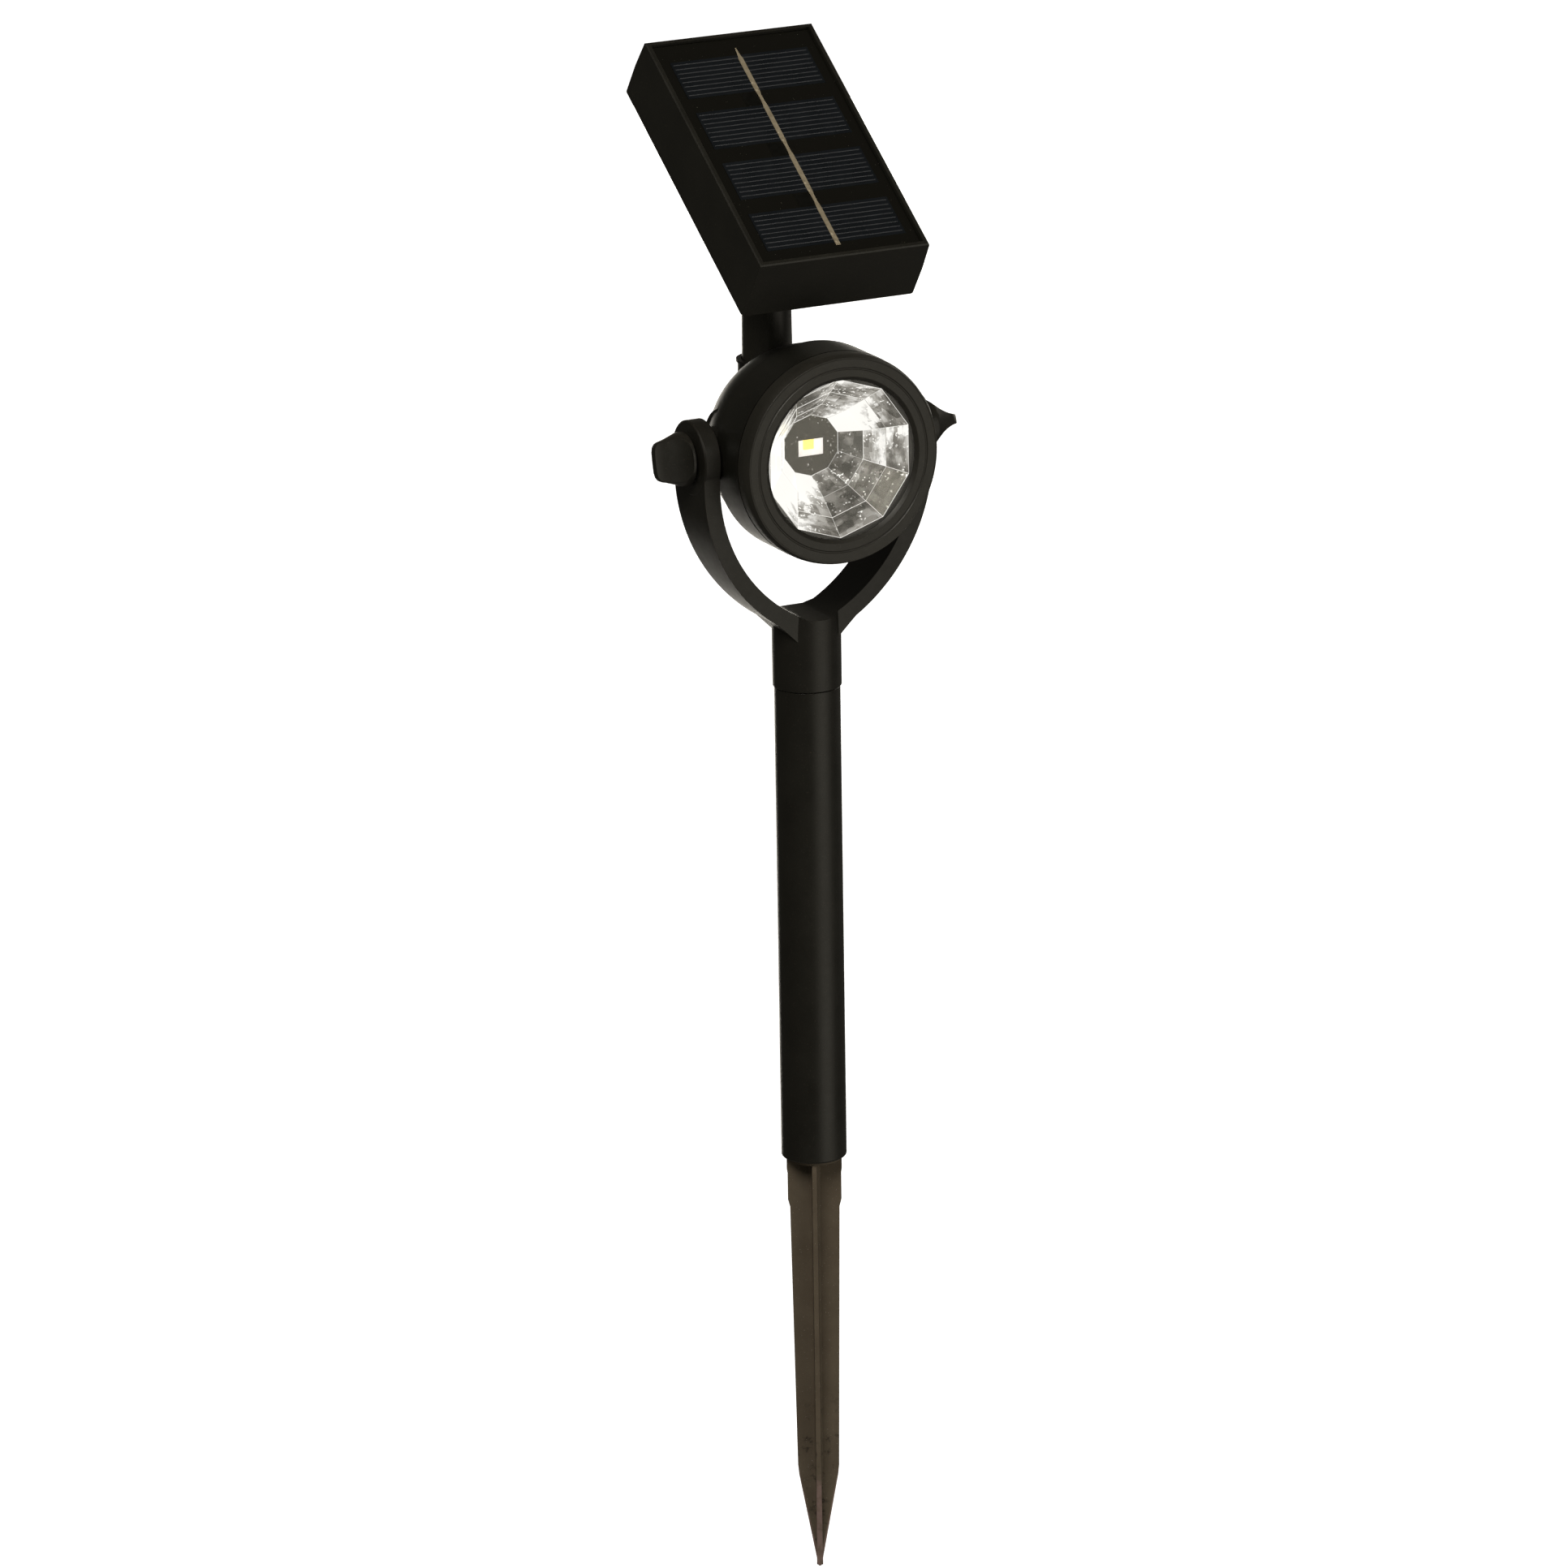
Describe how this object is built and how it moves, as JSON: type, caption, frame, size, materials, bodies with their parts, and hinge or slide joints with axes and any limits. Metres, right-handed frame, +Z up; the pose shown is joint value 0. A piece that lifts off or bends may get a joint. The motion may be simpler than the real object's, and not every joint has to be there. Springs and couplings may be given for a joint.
{
  "type": "solar garden spotlight on a stake",
  "caption": "Solar spotlight on a ground stake: sloped solar box on a swivelling neck, round lamp head with faceted reflector, tilting in a fork on a round pole with a cross-section spike.",
  "frame": {"origin": "on the pole axis at the ground line, where the pole tube's lower rim meets the spike", "axes": "+Z up along the pole; the lamp faces -Y and the tilt pivot runs along X; the solar panel slopes down towards -Y"},
  "size_m": [0.1132, 0.099, 0.5416],
  "materials": {
    "spike_plastic": "moulded, dull, slightly brown black with dust",
    "pole_plastic": "satin black",
    "yoke_plastic": "satin black",
    "head_plastic": "satin black",
    "bezel_plastic": "satin charcoal",
    "knob_plastic": "satin black",
    "neck_plastic": "satin black",
    "panel_plastic": "satin black",
    "slider_plastic": "satin black",
    "seal_rubber": "matt",
    "washer_steel": "plain",
    "insert_brass": "turned",
    "carrier_aluminium": "plain",
    "screw_steel": "zinc plated",
    "board_white": "white solder mask",
    "led_phosphor": "yellow phosphor",
    "reflector_mirror": "vacuum metallised",
    "lens_clear": "clear, smooth",
    "plate_black": "smooth resin",
    "cell_silicon": "polycrystalline, blue grey",
    "ribbon_tinned": "tinned",
    "battery_wrap": "plastic wrapped",
    "contact_nickel": "nickel plated",
    "board_green": "green solder mask",
    "switch_steel": "stamped"
  },
  "bodies": {
    "stake": {"ground_spike": "spike_plastic", "pole_tube": "pole_plastic"},
    "yoke": {"yoke_fork": "yoke_plastic", "swivel_o_ring": "seal_rubber", "pivot_washers": "washer_steel"},
    "head": {"head_housing": "head_plastic", "threaded_inserts": "insert_brass", "led_carrier": "carrier_aluminium", "carrier_screws": "screw_steel", "led_board": "board_white", "led_chip": "led_phosphor", "reflector": "reflector_mirror", "lens_gasket": "seal_rubber", "lens": "lens_clear", "bezel_ring": "bezel_plastic"},
    "left_clamp": {"left_knob": "knob_plastic", "left_clamp_screw": "screw_steel"},
    "right_clamp": {"right_knob": "knob_plastic", "right_clamp_screw": "screw_steel"},
    "panel": {"neck_tube": "neck_plastic", "neck_clip": "washer_steel", "panel_shell": "panel_plastic", "panel_cover": "panel_plastic", "cover_screws": "screw_steel", "solar_plate": "plate_black", "solar_cells": "cell_silicon", "cell_ribbon": "ribbon_tinned", "battery_cells": "battery_wrap", "battery_contacts": "contact_nickel", "control_board": "board_green", "switch_body": "switch_steel"},
    "switch": {"switch_slider": "slider_plastic"}
  },
  "joints": [
    {"name": "yoke_swivel", "type": "hinge", "parent": "stake", "child": "yoke", "pos_m": [0, 0, 0.17], "axis": [0, 0, 1], "continuous": true},
    {"name": "head_tilt", "type": "hinge", "parent": "yoke", "child": "head", "pos_m": [0, 0, 0.2558], "axis": [1, 0, 0], "range_deg": [-75, 35]},
    {"name": "left_clamp_turn", "type": "hinge", "parent": "head", "child": "left_clamp", "pos_m": [-0.0437, 0, 0.2558], "axis": [-1, 0, 0], "range_deg": [0, 540]},
    {"name": "right_clamp_turn", "type": "hinge", "parent": "head", "child": "right_clamp", "pos_m": [0.0437, 0, 0.2558], "axis": [1, 0, 0], "range_deg": [0, 540]},
    {"name": "panel_swivel", "type": "hinge", "parent": "head", "child": "panel", "pos_m": [0, 0.02645, 0.2764], "axis": [0, 0, 1], "range_deg": [-170, 170]},
    {"name": "switch_slide", "type": "slide", "parent": "panel", "child": "switch", "axis": [1, 0, 0], "range_m": [-0.0044, 0]}
  ]
}
